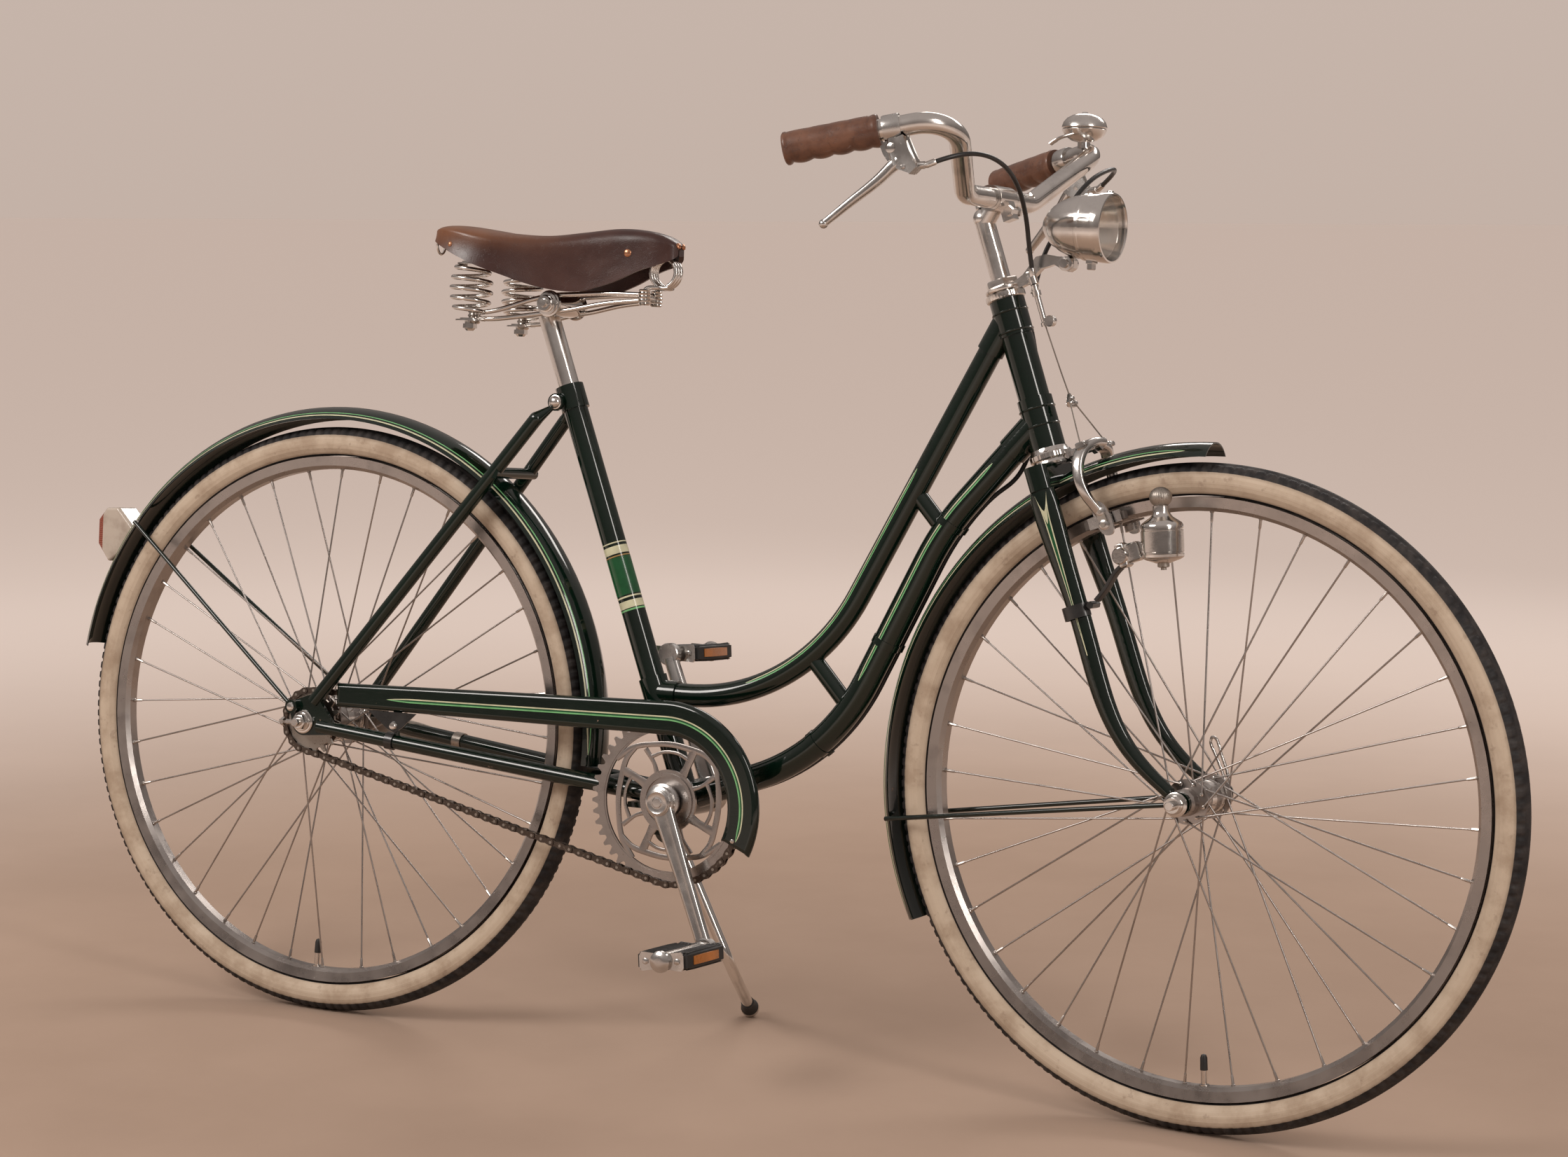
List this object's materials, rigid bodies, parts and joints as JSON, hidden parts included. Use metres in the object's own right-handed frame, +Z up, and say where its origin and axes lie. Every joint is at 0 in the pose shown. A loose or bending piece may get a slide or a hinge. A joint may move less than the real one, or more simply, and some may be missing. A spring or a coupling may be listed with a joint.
{
  "type": "step-through city bicycle",
  "caption": "Step-through roadster bicycle with swept bars, sprung leather saddle, fenders, chain case, bottle dynamo, lamps and side stand; steering, wheels, cranks, pedals and stand move.",
  "frame": {"origin": "on the floor under the middle of the whole parked bicycle", "axes": "+X forward, +Y to the rider's left, +Z up; the bicycle leans about 6 degrees to +Y on its side stand"},
  "size_m": [1.7923, 0.5332, 1.058],
  "materials": {
    "paint": "gloss dark green enamel with light green and cream lines",
    "chrome": "bright plating, lightly worn",
    "alloy": "satin, lightly worn",
    "steel": "satin, oiled",
    "tyre": "black tread with cream side walls",
    "leather": "waxed brown, worn",
    "rubber": "matt black blocks",
    "cable": "black housing",
    "lens": "cream housing with an amber-red lens"
  },
  "bodies": {
    "frame": {"head_tube": "paint", "bottom_bracket_shell": "paint", "seat_tube": "paint", "upper_tube": "paint", "down_tube": "paint", "frame_braces": "paint", "chainstay_right": "paint", "seat_stay_right": "paint", "chainstay_left": "paint", "seat_stay_left": "paint", "stay_bridges": "paint", "headset_cups": "chrome", "seat_post": "chrome", "saddle_leather": "leather", "saddle_springs": "chrome", "saddle_rails": "chrome", "chain_case": "paint", "chain": "steel", "rear_fender": "paint", "rear_fender_stays": "paint", "rear_light": "lens", "rear_axle": "steel", "stand_plate": "steel", "rear_cable_run": "cable"},
    "rear_wheel": {"rear_tyre": "tyre", "rear_rim": "alloy", "rear_hub": "chrome", "rear_spokes": "steel", "rear_sprocket": "steel"},
    "crankset": {"crank_axle": "steel", "chainring": "alloy", "crank_right": "alloy", "crank_left": "alloy"},
    "pedal_right": {"pedal_right": "alloy", "pedal_rubbers_right": "rubber"},
    "pedal_left": {"pedal_left": "alloy", "pedal_rubbers_left": "rubber"},
    "side_stand": {"side_stand": "steel"},
    "steering": {"fork_crown": "paint", "fork_leg_right": "paint", "fork_leg_left": "paint", "front_axle": "steel", "front_fender": "paint", "front_fender_stays": "paint", "stem": "chrome", "handlebar": "chrome", "grips": "leather", "brake_lever_right": "alloy", "brake_lever_left": "alloy", "bell": "chrome", "headlamp": "chrome", "lamp_bracket": "alloy", "front_brake": "alloy", "dynamo": "alloy", "front_cable": "cable", "rear_cable_loop": "cable"},
    "front_wheel": {"front_tyre": "tyre", "front_rim": "alloy", "front_hub": "chrome", "front_spokes": "steel"}
  },
  "joints": [
    {"name": "steering_turn", "type": "hinge", "parent": "frame", "child": "steering", "pos_m": [0.30686, -0.00876, 0.85509], "axis": [-0.3341, 0.0969, 0.9375], "range_deg": [-55, 65]},
    {"name": "front_wheel_spin", "type": "hinge", "parent": "steering", "child": "front_wheel", "pos_m": [0.54943, -0.06645, 0.34699], "axis": [0.0838, 0.9938, -0.0728], "continuous": true},
    {"name": "rear_wheel_spin", "type": "hinge", "parent": "frame", "child": "rear_wheel", "pos_m": [-0.53036, -0.06135, 0.34616], "axis": [0, 0.9947, -0.1028], "continuous": true},
    {"name": "crank_turn", "type": "hinge", "parent": "frame", "child": "crankset", "pos_m": [-0.05034, -0.06673, 0.29411], "axis": [0, 0.9947, -0.1028], "continuous": true},
    {"name": "pedal_right_spin", "type": "hinge", "parent": "crankset", "child": "pedal_right", "pos_m": [0.02048, -0.18805, 0.15128], "axis": [0, 0.9947, -0.1028], "continuous": true},
    {"name": "pedal_left_spin", "type": "hinge", "parent": "crankset", "child": "pedal_left", "pos_m": [-0.12116, 0.05459, 0.43694], "axis": [0, 0.9947, -0.1028], "continuous": true},
    {"name": "stand_fold", "type": "hinge", "parent": "frame", "child": "side_stand", "pos_m": [-0.08632, -0.03488, 0.2521], "axis": [0.2062, 0.8966, 0.392], "range_deg": [0, 100]}
  ]
}
